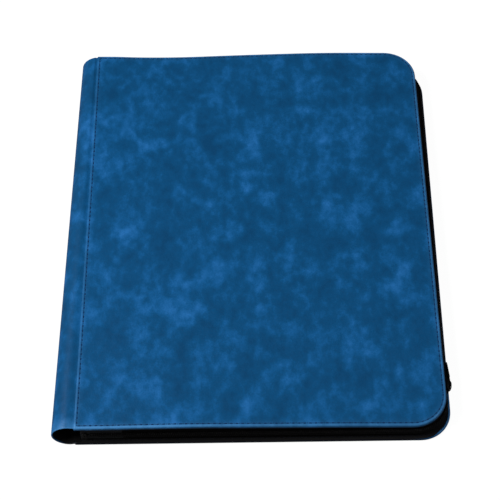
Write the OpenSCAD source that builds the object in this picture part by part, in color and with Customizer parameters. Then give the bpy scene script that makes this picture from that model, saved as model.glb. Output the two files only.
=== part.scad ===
// Zip-around binder for collectors' cards, closed and lying on its back cover.
// X runs from the spine (-X) to the fore-edge (+X), -Y is the lower edge, +Z is up.
// The origin is the middle of the flat face that the binder rests on.

/* [Overall size] */
// From the outermost face of the spine to the back cover's fore-edge
binder_w = 280; // [270:1:290]
// Height of the covers, from the lower to the upper edge
binder_l = 342; // [334:1:350]
// Thickness of the closed binder at the spine
spine_h = 25.5; // [25:0.5:28]
// Thickness of the closed binder at the fore-edge
fore_h = 19.5; // [19:0.5:21]

/* [Covers] */
// Thickness of a cover: leatherette, board and lining together
cover_t = 3.2; // [3:0.1:3.4]
// Thickness of the leatherette
skin_t = 0.9; // [0.7:0.1:1.1]
// Thickness of the lining cloth
liner_t = 0.5; // [0.4:0.1:0.7]
// Radius of the two corners at the fore-edge
corner_r = 24.5; // [22:0.5:28]
// Width of the front cover's panel, which is short of the back cover's
front_w = 260; // [259:0.5:261]
// How far the front cover sits turned on the back cover, in degrees
skew = 0.62; // [0:0.02:0.7]
// Distance of the seams from the outermost face of the spine
seam_in = 15; // [14.5:0.5:16]
// Distance of the board from the seam
board_in = 5; // [4.5:0.5:7]
// Distance of the stitching from the edge
stitch_in = 2.2; // [1.8:0.1:2.6]
// Width of the stitching thread
thread_w = 0.5; // [0.4:0.1:0.7]
// How far the thread stands out of the leatherette
thread_h = 0.15; // [0.1:0.05:0.2]

/* [Spine] */
// Thickness of the spine: leatherette and its stiff lining together
spine_t = 1.6; // [1.4:0.1:1.8]
// Gap between the spine strip and the cover flaps at each crease
crease_gap = 0.4; // [0.3:0.1:0.8]
// How far a flap lies below the outer face of the panel that laps over it
lap = 0.15; // [0.12:0.01:0.3]
// Half height of the flat face that the pages are welded to
binding_half_h = 8.4; // [8.2:0.1:8.5]

/* [Pages] */
// Number of pages
page_count = 20; // [2:1:20]
// Columns and rows of pockets on a page
pocket_grid = [3, 3];
// Width and height of one pocket
pocket_size = [74, 99];
// Width of the plain margin beside the binding
page_margin = 20; // [16:1:24]
// Thickness of the black centre sheet
core_t = 0.25; // [0.15:0.05:0.3]
// Thickness of the clear pocket film on each side
film_t = 0.12; // [0.08:0.01:0.14]
// Width of the weld lines between the pockets
weld_w = 1.4; // [1:0.1:2.5]
// Distance between neighbouring pages at the binding
pitch_at_binding = 0.85; // [0.8:0.01:0.88]
// Distance between neighbouring pages at their free edge
pitch_at_fore_edge = 0.62; // [0.58:0.01:0.64]
// Share of the opening angle by which the outermost pages follow the covers
fan_clearance = 1.5; // [1.4:0.1:2]

/* [Zip] */
// Height of the zip's middle above the rest face
zip_z = 9.8; // [9.6:0.1:10]
// Distance of the coils' outer face from the back cover's edge
coil_in = 1.8; // [1.6:0.1:2]
// Thickness of a coil row, across the tape
coil_t = 2.2; // [2:0.1:2.4]
// Height of a coil row, along the tape's width
coil_h = 2.3; // [2:0.1:2.4]
// Gap between the two coil rows
coil_gap = 1; // [0.9:0.1:1.2]
// Thickness of the zip tape
tape_t = 0.8; // [0.6:0.1:1]
// Distance of the front tape's sewn edge from the front cover's edge
front_tape_in = 3; // [2.8:0.1:4]
// Where the zip starts and ends, from the outermost face of the spine
zip_start = 21; // [20:1:30]

/* [Slider] */
// Distance of the slider from the lower edge
slider_from_edge = 38; // [38:1:120]
// Length of the slider along the zip
slider_l = 11; // [10:0.5:12]
// Height of the slider's outer plate
slider_h = 8; // [7:0.5:9]
// Length of the pull from its pin to its tip
pull_l = 19; // [17:1:26]
// Thickness of the pull
pull_t = 1.2; // [1:0.1:1.3]
// How far the pull leans towards the zip, in degrees
pull_lean = 3; // [0:0.5:3]

/* [Hidden] */
function page_name(i) = str("page_", i < 10 ? "0" : "", i);

// Places
spine_x = -binder_w / 2;
fore_x = binder_w / 2;
seam_x = spine_x + seam_in;
back_w = binder_w - seam_in;
spine_r = spine_h / 2;
spine_cx = spine_x + spine_r;
front_tilt = atan((spine_h - fore_h) / front_w);
zip_x = spine_x + zip_start;
flap_overlap = binder_l / 2 * sin(skew) + 0.2;

// Zip
tape_in = coil_in + coil_t;
row_low = zip_z - coil_gap / 2 - coil_h;
row_high = zip_z + coil_gap / 2;
seat = 0.02;
ledge_t = 0.6;

// Pages
page_x = spine_x + 7.5;
page_root = fan_clearance;
page_w = page_margin + pocket_grid[0] * pocket_size[0] + weld_w;
page_l = pocket_grid[1] * pocket_size[1] + weld_w;
page_chamfer = 5;
pitch_tilt = atan((pitch_at_binding - pitch_at_fore_edge) / page_w);

// Slider
slider_y = -binder_l / 2 + slider_from_edge;
slider_gap = 0.3;
plate_t = 0.7;
plate_x = fore_x - coil_in + slider_gap;
inner_plate_x = fore_x - tape_in - tape_t - slider_gap - plate_t;
inner_plate_h = 2 * coil_h + coil_gap - 0.6;
post_h = coil_gap - 0.4;
post_l = 3;
pin_x = plate_x + plate_t + 1.2;
pin_r = 0.5;
bridge_half_l = 4.4;
bridge_w = 2;
bridge_t = 0.9;
bridge_in_x = pin_x + pin_r + 0.2;
arm_gap = 0.3;
arm_w = 1.1;
tab_start = 5.8;
tab_w = 7;

leatherette = "#174a7a";
lining = "#151518";
zip_black = "#0e0e10";
board = "#8f8577";
thread = "#10345c";
film = [0.82, 0.86, 0.9, 0.45];

// Panel lying along +X from x0, with its two far corners rounded, inset all round but at x0
module panel(w, x0, inset) {
    r = corner_r - inset;
    l = binder_l - 2 * inset;
    union() {
        translate([x0, -l / 2]) square([w - corner_r - x0, l]);
        translate([w - corner_r - 1, -l / 2 + r]) square([r + 1, l - 2 * r]);
        for (s = [-1, 1]) translate([w - corner_r, s * (l / 2 - r)]) circle(r = r, $fn = 96);
    }
}

// Upright wall that follows a panel's three outer edges, between two insets
module rim(w, x0, inset, t) {
    difference() {
        panel(w, x0, inset);
        panel(w, x0 - 1, inset + t);
    }
}

// Places a front cover part, modelled with its outer face at z = 0 and its seam at x = 0
module on_front() {
    translate([seam_x, 0, spine_h]) rotate([0, front_tilt, 0]) rotate([0, 0, skew]) children();
}

// Places a back cover part, modelled with its outer face at z = 0 and its seam at x = 0
module on_back() {
    translate([seam_x, 0, 0]) children();
}

// Leatherette of a cover, folded up round the board; its outer face is at z = 0
module cover_skin(w) {
    difference() {
        linear_extrude(cover_t) panel(w, 0, 0);
        translate([0, 0, skin_t]) linear_extrude(cover_t) panel(w, board_in, skin_t);
    }
}

module cover_board(w) {
    translate([0, 0, skin_t]) linear_extrude(cover_t - skin_t - liner_t) panel(w, board_in, skin_t);
}

module cover_lining(w) {
    translate([0, 0, cover_t - liner_t]) linear_extrude(liner_t) panel(w, board_in, skin_t);
}

// One line of stitches along all four sides of a cover
module stitching(w) {
    linear_extrude(thread_h) difference() {
        panel(w, stitch_in, stitch_in);
        panel(w, stitch_in + thread_w, stitch_in + thread_w);
    }
}

// Turns an outline drawn in X and Z into a bar along Y
module along_spine(l) {
    rotate([90, 0, 0]) linear_extrude(l, center = true) children();
}

// Curved part of the spine between two radii, from angle a to angle b
module spine_arc(r_out, r_in, a, b) {
    reach = 2 * spine_h;
    mid = (a + b) / 2;
    translate([spine_cx, spine_r]) intersection() {
        difference() {
            circle(r = r_out, $fn = 96);
            circle(r = r_in, $fn = 96);
        }
        polygon([
            [0, 0],
            reach * [cos(a), sin(a)],
            reach * [cos(mid), sin(mid)],
            reach * [cos(b), sin(b)]
        ]);
    }
}

// Flap that carries a cover's leatherette round to the spine's crease
module cover_flap(overlap) {
    along_spine(binder_l) {
        spine_arc(spine_r, spine_r - spine_t, 225, 270);
        translate([spine_cx, lap]) square([seam_x - spine_cx + overlap, spine_t - lap]);
    }
}

module back_cover_skin() {
    color(leatherette) union() {
        on_back() cover_skin(back_w);
        cover_flap(flap_overlap);
    }
}

module back_cover_board() {
    color(board) on_back() cover_board(back_w);
}

module back_cover_lining() {
    color(lining) on_back() cover_lining(back_w);
}

module back_cover_stitching() {
    color(thread) on_back() translate([0, 0, cover_t]) stitching(back_w);
}

module front_cover_skin() {
    color(leatherette) union() {
        on_front() mirror([0, 0, 1]) cover_skin(front_w);
        translate([0, 0, spine_h]) mirror([0, 0, 1]) cover_flap(flap_overlap);
    }
}

module front_cover_board() {
    color(board) on_front() mirror([0, 0, 1]) cover_board(front_w);
}

module front_cover_lining() {
    color(lining) on_front() mirror([0, 0, 1]) cover_lining(front_w);
}

module front_cover_stitching() {
    color(thread) on_front() stitching(front_w);
}

// Half the angle that the spine strip takes up, leaving the creases open
strip_half = 45 - crease_gap / spine_r * 180 / PI;

module spine_skin() {
    color(leatherette) along_spine(binder_l)
        spine_arc(spine_r, spine_r - skin_t, 180 - strip_half, 180 + strip_half);
}

module spine_lining() {
    color(lining) along_spine(binder_l)
        spine_arc(spine_r - skin_t, spine_r - spine_t, 180 - strip_half, 180 + strip_half);
}

// Block inside the spine that the pages are welded to
module page_binding() {
    face_x = page_x - 0.3;
    plate = 1.2;
    core_half = 7;
    color(lining) along_spine(page_l) {
        intersection() {
            translate([spine_cx, spine_r]) circle(r = spine_r - spine_t, $fn = 96);
            translate([spine_x, spine_r - core_half]) square([face_x - spine_x, 2 * core_half]);
        }
        translate([face_x - plate, spine_r - binding_half_h]) square([plate, 2 * binding_half_h]);
    }
}

module back_zip_tape() {
    color(zip_black) translate([0, 0, cover_t]) linear_extrude(row_low + coil_h - cover_t)
        translate([seam_x, 0]) rim(back_w, zip_x - seam_x, tape_in, tape_t);
}

// One row of the zip's coil, as the bar that its turns fill
module coil_row(z) {
    translate([seam_x, 0, z]) linear_extrude(coil_h)
        rim(back_w, zip_x - seam_x + 4, coil_in, coil_t);
}

module back_zip_coil() {
    color(zip_black) coil_row(row_low);
}

module front_zip_coil() {
    color(zip_black) coil_row(row_high);
}

// Clamps that close off both ends of a coil row
module stops(z) {
    half_y = binder_l / 2 - coil_in - coil_t / 2;
    for (s = [-1, 1]) translate([zip_x + 2, s * half_y, z + coil_h / 2])
        cube([3.6, coil_t, coil_h], center = true);
}

module back_zip_stops() {
    color(zip_black) stops(row_low);
}

module front_zip_stops() {
    color(zip_black) stops(row_high);
}

// Outline of the front cover as it lies over the back cover, from x0, inset all round but there
module front_outline(x0, inset) {
    rotate(skew) panel(front_w, x0, inset);
}

// Upright beside its coil row, then across a narrow ledge and up to the front cover's outline
module front_zip_tape() {
    start = zip_x - seam_x;
    row_top = row_high + coil_h;
    row_in = tape_in + tape_t;
    wall_in = front_tape_in + tape_t;
    lip = 0.4;
    color(zip_black) union() {
        translate([seam_x, 0, row_high]) linear_extrude(coil_h)
            rim(back_w, start, tape_in, tape_t);
        translate([seam_x, 0, row_top]) linear_extrude(ledge_t) difference() {
            union() {
                panel(back_w, start, tape_in);
                front_outline(start - 1, front_tape_in - lip);
            }
            intersection() {
                panel(back_w, start - 6, row_in);
                front_outline(start - 6, wall_in + lip);
            }
        }
        intersection() {
            on_front() translate([0, 0, -cover_t - seat - spine_h]) linear_extrude(spine_h)
                rim(front_w, start, front_tape_in, tape_t);
            translate([-binder_w, -binder_l, row_top + ledge_t / 2])
                cube([2 * binder_w, 2 * binder_l, spine_h]);
        }
    }
}

// Plate across X with rounded corners, centred on y = 0 and z = 0
module plate(t, l, h, r) {
    rotate([90, 0, 90]) linear_extrude(t) union() {
        square([l - 2 * r, h], center = true);
        square([l, h - 2 * r], center = true);
        for (sy = [-1, 1], sz = [-1, 1])
            translate([sy * (l / 2 - r), sz * (h / 2 - r)]) circle(r = r, $fn = 32);
    }
}

// Two plates, one on each side of the coils, joined by a post between the rows
module slider_body() {
    color(zip_black) translate([0, slider_y, zip_z]) union() {
        translate([plate_x, 0, 0]) plate(plate_t, slider_l, slider_h, 1.5);
        translate([inner_plate_x, 0, 0]) plate(plate_t, slider_l, inner_plate_h, 1);
        translate([inner_plate_x + plate_t / 2, -post_l / 2, -post_h / 2])
            cube([plate_x - inner_plate_x, post_l, post_h]);
    }
}

// Arch on the slider that holds the pull's pin
module slider_bridge() {
    foot_x = plate_x + plate_t;
    color(zip_black) translate([0, slider_y, zip_z]) difference() {
        translate([foot_x, -bridge_half_l, -bridge_w / 2])
            cube([bridge_in_x + bridge_t - foot_x, 2 * bridge_half_l, bridge_w]);
        translate([foot_x - 1, -bridge_half_l + 1, -bridge_w])
            cube([bridge_in_x - foot_x + 1, 2 * bridge_half_l - 2, 2 * bridge_w]);
    }
}

// Pin under the bridge, two arms beside it and a flat tab with a round end
module slider_pull() {
    arm_z = bridge_w / 2 + arm_gap;
    tip_r = tab_w / 2;
    color(zip_black) translate([pin_x, slider_y, zip_z]) rotate([0, 0, pull_lean]) union() {
        cylinder(r = pin_r, h = 2 * arm_z + 0.4, center = true, $fn = 32);
        for (s = [-1, 1]) translate([-pin_r, -pin_r, s * (arm_z + arm_w / 2) - arm_w / 2])
            cube([2 * pin_r, tab_start + 2 * pin_r, arm_w]);
        translate([-pull_t / 2, tab_start, -tab_w / 2])
            cube([pull_t, pull_l - tip_r - tab_start, tab_w]);
        translate([-pull_t / 2, pull_l - tip_r, 0])
            rotate([0, 90, 0]) cylinder(r = tip_r, h = pull_t, $fn = 48);
    }
}

// Places page i, modelled with its binding line along Y at the origin
module on_page(i) {
    middle = (page_count + 1) / 2;
    translate([page_x, 0, spine_r + (i - middle) * pitch_at_binding])
        rotate([0, (i - 1) * pitch_tilt, 0]) children();
}

// Black centre sheet of a page, with its two free corners cut off
module page(i) {
    half = page_l / 2;
    color(lining) on_page(i) linear_extrude(core_t, center = true) polygon([
        [page_root, -half],
        [page_w - page_chamfer, -half],
        [page_w, -half + page_chamfer],
        [page_w, half - page_chamfer],
        [page_w - page_chamfer, half],
        [page_root, half]
    ]);
}

// Clear pockets on both sides of a page, divided by weld lines
module page_pockets(i) {
    first = [page_margin + weld_w / 2, -pocket_grid[1] * pocket_size[1] / 2];
    color(film) on_page(i)
        for (column = [0:pocket_grid[0] - 1], row = [0:pocket_grid[1] - 1], side = [-1, 1])
            translate([
                first[0] + column * pocket_size[0],
                first[1] + row * pocket_size[1] + weld_w / 2,
                side > 0 ? core_t / 2 : -core_t / 2 - film_t
            ]) cube([pocket_size[0] - weld_w, pocket_size[1] - weld_w, film_t]);
}

back_cover_skin();
back_cover_board();
back_cover_lining();
back_cover_stitching();
front_cover_skin();
front_cover_board();
front_cover_lining();
front_cover_stitching();
spine_skin();
spine_lining();
page_binding();
back_zip_tape();
back_zip_coil();
back_zip_stops();
front_zip_tape();
front_zip_coil();
front_zip_stops();
slider_body();
slider_bridge();
slider_pull();
for (i = [1:page_count]) page(i);
for (i = [1:page_count]) page_pockets(i);
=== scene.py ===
import logging
import math
from abc import ABC, abstractmethod
from collections.abc import Sequence
from dataclasses import dataclass, field, replace
from enum import Enum
from typing import Any

import bmesh
import bpy
import numpy as np
from mathutils import Matrix, Vector


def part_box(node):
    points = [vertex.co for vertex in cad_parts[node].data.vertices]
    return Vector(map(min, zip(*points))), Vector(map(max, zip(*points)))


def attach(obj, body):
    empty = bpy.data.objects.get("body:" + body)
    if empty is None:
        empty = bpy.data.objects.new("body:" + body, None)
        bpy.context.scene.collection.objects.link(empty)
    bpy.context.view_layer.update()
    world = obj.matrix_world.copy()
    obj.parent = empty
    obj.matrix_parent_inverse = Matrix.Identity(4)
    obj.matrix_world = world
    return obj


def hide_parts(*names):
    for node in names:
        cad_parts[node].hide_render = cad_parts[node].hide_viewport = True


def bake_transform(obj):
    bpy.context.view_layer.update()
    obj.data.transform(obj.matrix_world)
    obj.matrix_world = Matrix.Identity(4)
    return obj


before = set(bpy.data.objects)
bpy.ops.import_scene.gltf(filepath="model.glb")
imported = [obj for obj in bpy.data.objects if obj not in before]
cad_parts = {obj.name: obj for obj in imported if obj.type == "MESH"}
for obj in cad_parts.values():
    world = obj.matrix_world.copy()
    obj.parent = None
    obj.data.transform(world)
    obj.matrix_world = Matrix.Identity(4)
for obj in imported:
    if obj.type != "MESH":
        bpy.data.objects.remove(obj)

Array = np.ndarray
Colour = tuple[float, float, float]
LOG = logging.getLogger("card_binder")
MM = 0.001
# The front cover's warp. One hump a row: edge (1 far, -1 near), centre, width, height.
WARPS = ((1, 60, 46, -1.9), (1, 185, 48, 1.3), (-1, 85, 50, 1.3), (-1, 238, 42, -1.45))
WARP_START, WARP_GROWS, WARP_FADES = 20.0, 151.0, 35.0


class Side(Enum):
    """The two covers, named after the bodies that they are."""

    BACK = "back_cover"
    FRONT = "front_cover"


def smoothstep(value: Array | float, start: float, end: float) -> Any:
    """Eases from 0 at start to 1 at end.

    Args:
        value: where to read the ease.
        start: last place where it is 0.
        end: first place where it is 1.

    Returns:
        The eased share, of the same shape as value.
    """
    share = np.clip((value - start) / (end - start), 0, 1)
    return share * share * (3 - 2 * share)


# ---------------------------------------------------------------- finishes


class NodeSheet:
    """A material's node tree, with short ways to add what the finishes need."""

    def __init__(self, name: str) -> None:
        """Starts a tree that holds one Principled shader.

        Args:
            name: the material's name.
        """
        self.material = bpy.data.materials.new(name)
        self.material.use_nodes = True
        self.tree = self.material.node_tree
        self.tree.nodes.clear()
        output = self.add("OutputMaterial")
        self.shader = self.add("BsdfPrincipled")
        self.tree.links.new(self.shader.outputs["BSDF"], output.inputs["Surface"])
        self.place = self.add("TexCoord").outputs["Object"]

    def feed(self, socket: Any, value: Any) -> None:
        """Links an output socket to an input socket, or sets the input to a value.

        Args:
            socket: the input socket.
            value: an output socket, a number, a vector or a colour.
        """
        if isinstance(value, bpy.types.NodeSocket):
            self.tree.links.new(value, socket)
        else:
            socket.default_value = (*value, 1) if socket.type == "RGBA" else value

    def add(self, kind: str, **inputs: Any) -> Any:
        """Adds a node.

        Args:
            kind: its type without ShaderNode in front.
            **inputs: what feeds its inputs, with _ for a space in their names.

        Returns:
            The node.
        """
        node = self.tree.nodes.new(f"ShaderNode{kind}")
        for key, value in inputs.items():
            self.feed(node.inputs[key.replace("_", " ")], value)
        return node

    def stretched(self, scale: Colour, turn: float = 0.0) -> Any:
        """Gives object coordinates scaled along X, Y and Z and turned about Z by degrees."""
        return self.add("Mapping", Vector=self.place, Rotation=(0, 0, math.radians(turn)),
                        Scale=scale).outputs["Vector"]

    def noise(self, scale: float, detail: float = 3, rough: float = 0.5,
              twist: float = 0.0, place: Any = None) -> Any:
        """Adds a noise texture.

        Args:
            scale: waves per metre.
            detail: octaves.
            rough: strength of the finer octaves.
            twist: distortion.
            place: vector socket, or None for object coordinates.

        Returns:
            The noise value's socket.
        """
        return self.add("TexNoise", Vector=self.place if place is None else place, Scale=scale,
                        Detail=detail, Roughness=rough, Distortion=twist).outputs["Fac"]

    def cells(self, scale: float) -> Any:
        """Adds a cell texture of a scale per metre and gives the distance socket."""
        return self.add("TexVoronoi", Vector=self.place, Scale=scale).outputs["Distance"]

    def waves(self, scale: float, axis: str, twist: float = 0.0) -> Any:
        """Adds parallel waves.

        Args:
            scale: waves per metre, roughly.
            axis: X, Y, Z or DIAGONAL.
            twist: distortion.

        Returns:
            The wave value's socket.
        """
        node = self.add("TexWave", Vector=self.place, Scale=scale, Distortion=twist)
        node.bands_direction = axis
        return node.outputs["Fac"]

    def maths(self, kind: str, a: Any, b: Any) -> Any:
        """Adds a math node.

        Args:
            kind: its operation.
            a: first number or socket.
            b: second number or socket.

        Returns:
            The result's socket.
        """
        node = self.add("Math")
        node.operation = kind
        self.feed(node.inputs[0], a)
        self.feed(node.inputs[1], b)
        return node.outputs["Value"]

    def weighted(self, *parts: tuple[Any, float]) -> Any:
        """Adds up values.

        Args:
            *parts: each value's socket with its factor.

        Returns:
            The sum's socket.
        """
        terms = [self.maths("MULTIPLY", value, factor) for value, factor in parts]
        total = terms.pop()
        while terms:
            total = self.maths("ADD", terms.pop(), total)
        return total

    def mark(self, name: str) -> Any:
        """Gives the value of a mesh attribute.

        Args:
            name: the attribute's name.

        Returns:
            The value's socket.
        """
        node = self.add("Attribute")
        node.attribute_name = name
        return node.outputs["Fac"]

    def ramp(self, value: Any, stops: Sequence[tuple[float, Colour]]) -> Any:
        """Turns a value into a colour.

        Args:
            value: socket with the value.
            stops: places from 0 to 1, each with its colour.

        Returns:
            The colour socket.
        """
        node = self.add("ValToRGB", Fac=value)
        band = node.color_ramp
        while len(band.elements) < len(stops):
            band.elements.new(0.5)
        for element, (at, colour) in zip(band.elements, stops):
            element.position = at
            element.color = (*colour, 1)
        return node.outputs["Color"]

    def range(self, value: Any, low: float, high: float, a: float = 0.3, b: float = 0.7) -> Any:
        """Maps a value from a..b to low..high.

        Args:
            value: socket with the value.
            low: result at a.
            high: result at b.
            a: lower end of the input.
            b: upper end of the input.

        Returns:
            The mapped value's socket.
        """
        return self.add("MapRange", Value=value, From_Min=a, From_Max=b, To_Min=low,
                        To_Max=high).outputs["Result"]

    def blend_colours(self, share: Any, a: Any, b: Any) -> Any:
        """Mixes two colours.

        Args:
            share: socket with the second colour's share.
            a: first colour or its socket.
            b: second colour or its socket.

        Returns:
            The colour socket.
        """
        node = self.add("Mix", Factor=share)
        node.data_type = "RGBA"
        self.feed(node.inputs[6], a)
        self.feed(node.inputs[7], b)
        return node.outputs[2]

    def relief(self, height: Any, depth: float, strength: float, under: Any = None) -> Any:
        """Adds a bump.

        Args:
            height: socket with the height.
            depth: full height in metres.
            strength: share of it that shows.
            under: normal socket of a coarser bump, if there is one.

        Returns:
            The normal socket.
        """
        node = self.add("Bump", Height=height, Distance=depth, Strength=strength)
        if under is not None:
            self.feed(node.inputs["Normal"], under)
        return node.outputs["Normal"]

    def dress(self, colour: Any, roughness: Any, normal: Any = None, **fixed: Any) -> Any:
        """Feeds the shader.

        Args:
            colour: base colour or its socket.
            roughness: number or socket.
            normal: normal socket.
            **fixed: other sockets' values, with _ for a space in their names.

        Returns:
            The finished material.
        """
        if normal is not None:
            fixed["Normal"] = normal
        for key, value in {"Base_Color": colour, "Roughness": roughness, **fixed}.items():
            self.feed(self.shader.inputs[key.replace("_", " ")], value)
        return self.material


@dataclass(frozen=True)
class Finish(ABC):
    """A finish that makes its material once and then hands it out."""

    name: str

    @abstractmethod
    def nodes(self, sheet: NodeSheet) -> Any:
        """Builds the material's nodes on a fresh sheet and gives the material."""

    def material(self) -> Any:
        """Gives the finish's material, which is made at the first call."""
        known = bpy.data.materials.get(self.name)
        return known if known is not None else self.nodes(NodeSheet(self.name))


@dataclass(frozen=True)
class Leatherette(Finish):
    """Blue leatherette with washed clouds and a fine grain, paler at abraded edges and at painted
    highlights, and near-black where shade is painted.
    """

    deep: Colour = (0.0014, 0.061, 0.170)
    main: Colour = (0.0020, 0.080, 0.222)
    haze: Colour = (0.0050, 0.107, 0.306)
    cloud: Colour = (0.0190, 0.166, 0.470)
    # Paler blue for abraded edges and for the painted highlight on edges that face the light.
    abraded_and_lit: Colour = (0.060, 0.250, 0.560)
    # Near-black painted shade for rims that lie in shadow.
    painted_shade: Colour = (0.0005, 0.003, 0.010)
    cloud_scale: float = 60.0
    grain_scale: float = 1050.0

    def nodes(self, sheet: NodeSheet) -> Any:
        """Builds clouds, grain, paler abraded edges with painted highlights, and painted shade.

        Args:
            sheet: the fresh node tree.

        Returns:
            The material.
        """
        place = sheet.stretched((1, 0.72, 1))
        wide = sheet.noise(self.cloud_scale, 2, 0.5, 0.15, place)
        small = sheet.noise(self.cloud_scale * 3.0, 3, 0.5, 0.2, place)
        specks = sheet.noise(self.cloud_scale * 14, 2, 0.6)
        mixed = sheet.weighted((wide, 0.54), (small, 0.32), (specks, 0.14))
        base = sheet.ramp(mixed, [(0.36, self.deep), (0.49, self.main), (0.57, self.haze),
                                  (0.70, self.cloud)])
        # Positive edge values mix in the paler colour, for abrasion and painted highlight.
        abraded_and_lit = sheet.mark("edge_abrasion_and_light")
        abrasion_and_light = sheet.maths("MULTIPLY", abraded_and_lit, sheet.range(small, 0.32, 0.62))
        # Negative edge values mix in the painted shade.
        dark = sheet.maths("MULTIPLY", abraded_and_lit, -1.0)
        colour = sheet.blend_colours(dark, sheet.blend_colours(abrasion_and_light, base, self.abraded_and_lit), self.painted_shade)
        creases = sheet.relief(sheet.noise(260, 4, 0.6, 0.6), 0.0003, 0.18)
        grain = sheet.relief(sheet.cells(self.grain_scale), 0.00014, 0.45, creases)
        rough = sheet.range(sheet.noise(700, 2), 0.32, 0.44)
        return sheet.dress(colour, rough, grain, Specular_IOR_Level=0.22)


@dataclass(frozen=True)
class Cloth(Finish):
    """Close plain weave, for linings, tapes and end tabs."""

    dark: Colour = (0.0020, 0.0018, 0.0020)
    light: Colour = (0.0060, 0.0055, 0.0062)
    threads: float = 900.0
    rough: float = 0.85
    sheen: float = 0.02

    def nodes(self, sheet: NodeSheet) -> Any:
        """Builds two crossing sets of threads with faded patches.

        Args:
            sheet: the fresh node tree.

        Returns:
            The material.
        """
        across, along_y, upward = (sheet.waves(self.threads * 0.5, axis) for axis in "XYZ")
        weave = sheet.maths("MULTIPLY", across, along_y)
        both = sheet.weighted((weave, 0.5), (sheet.maths("MULTIPLY", weave, upward), 1.0))
        faded = sheet.weighted((both, 1.0), (sheet.noise(60), 0.6))
        colour = sheet.ramp(faded, [(0.15, self.dark), (0.95, self.light)])
        bump = sheet.relief(both, 0.00012, 0.6)
        return sheet.dress(colour, self.rough, bump, Sheen_Weight=self.sheen,
                           Specular_IOR_Level=0.08)


@dataclass(frozen=True)
class Thread(Finish):
    """Twisted polyester thread; the same nodes also draw the painted shade in the needle holes."""

    dark: Colour = (0.0012, 0.020, 0.080)
    light: Colour = (0.0032, 0.040, 0.145)

    def nodes(self, sheet: NodeSheet) -> Any:
        """Builds a slanting twist and uneven dye.

        Args:
            sheet: the fresh node tree.

        Returns:
            The material.
        """
        twist = sheet.waves(1500, "DIAGONAL", twist=0.6)
        tone = sheet.weighted((twist, 0.6), (sheet.noise(400, 2), 0.4))
        colour = sheet.ramp(tone, [(0.2, self.dark), (0.8, self.light)])
        return sheet.dress(colour, sheet.range(tone, 0.6, 0.8), sheet.relief(twist, 0.0001, 0.6),
                           Specular_IOR_Level=0.15)


@dataclass(frozen=True)
class Greyboard(Finish):
    """Pressed grey board with flecks of paper fibre."""

    dark: Colour = (0.14, 0.125, 0.105)
    light: Colour = (0.34, 0.31, 0.27)

    def nodes(self, sheet: NodeSheet) -> Any:
        """Builds flecks and a fibrous surface.

        Args:
            sheet: the fresh node tree.

        Returns:
            The material.
        """
        fibre = sheet.noise(1, 4, 0.7, 1.0, sheet.stretched((350, 1400, 900), 30))
        tone = sheet.weighted((fibre, 0.6), (sheet.noise(900, 2), 0.4))
        colour = sheet.ramp(tone, [(0.3, self.dark), (0.7, self.light)])
        return sheet.dress(colour, 0.92, sheet.relief(fibre, 0.0001, 0.5))


@dataclass(frozen=True)
class Nylon(Finish):
    """Smooth dark nylon of the coil's wire and of the clamps."""

    dark: Colour = (0.0060, 0.0058, 0.0063)
    light: Colour = (0.0140, 0.0136, 0.0145)

    def nodes(self, sheet: NodeSheet) -> Any:
        """Builds slight streaks of tone and gloss.

        Args:
            sheet: the fresh node tree.

        Returns:
            The material.
        """
        streak = sheet.noise(500, 3, 0.6)
        colour = sheet.ramp(streak, [(0.3, self.dark), (0.7, self.light)])
        return sheet.dress(colour, sheet.range(streak, 0.32, 0.5), sheet.relief(streak, 0.00005, 0.3),
                           Specular_IOR_Level=0.15)


@dataclass(frozen=True)
class Enamel(Finish):
    """Black enamel over cast metal, rubbed where fingers hold it."""

    dark: Colour = (0.0014, 0.0014, 0.0017)
    light: Colour = (0.0060, 0.0060, 0.0068)

    def nodes(self, sheet: NodeSheet) -> Any:
        """Builds a faint orange peel and rubbed patches.

        Args:
            sheet: the fresh node tree.

        Returns:
            The material.
        """
        rubbed = sheet.noise(240, 4, 0.6)
        peel = sheet.noise(1800, 2)
        colour = sheet.ramp(rubbed, [(0.42, self.dark), (0.72, self.light)])
        return sheet.dress(colour, sheet.range(rubbed, 0.42, 0.58), sheet.relief(peel, 0.00006, 0.3),
                           Specular_IOR_Level=0.22)


@dataclass(frozen=True)
class PageSheet(Finish):
    """Matt black polypropylene with a fine embossed grain."""

    dark: Colour = (0.0045, 0.0045, 0.0050)
    light: Colour = (0.0110, 0.0110, 0.0120)

    def nodes(self, sheet: NodeSheet) -> Any:
        """Builds the embossing.

        Args:
            sheet: the fresh node tree.

        Returns:
            The material.
        """
        emboss = sheet.cells(1500)
        colour = sheet.ramp(sheet.noise(120, 3), [(0.3, self.dark), (0.7, self.light)])
        return sheet.dress(colour, sheet.range(sheet.noise(300, 2), 0.5, 0.65),
                           sheet.relief(emboss, 0.00006, 0.4))


@dataclass(frozen=True)
class PocketFilm(Finish):
    """Clear pocket film with faint ripples."""

    tint: Colour = (0.62, 0.66, 0.70)
    scuffed: Colour = (0.86, 0.88, 0.90)
    cover: float = 0.16

    def nodes(self, sheet: NodeSheet) -> Any:
        """Builds a clear gloss with ripples and light scuffs.

        Args:
            sheet: the fresh node tree.

        Returns:
            The material.
        """
        ripple = sheet.noise(55, 3, 0.5, 0.4)
        scuff = sheet.noise(420, 4, 0.7)
        return sheet.dress(sheet.ramp(scuff, [(0.3, self.tint), (0.8, self.scuffed)]),
                           sheet.range(scuff, 0.10, 0.24), sheet.relief(ripple, 0.0008, 0.35),
                           Specular_IOR_Level=0.6, Alpha=self.cover)


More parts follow.
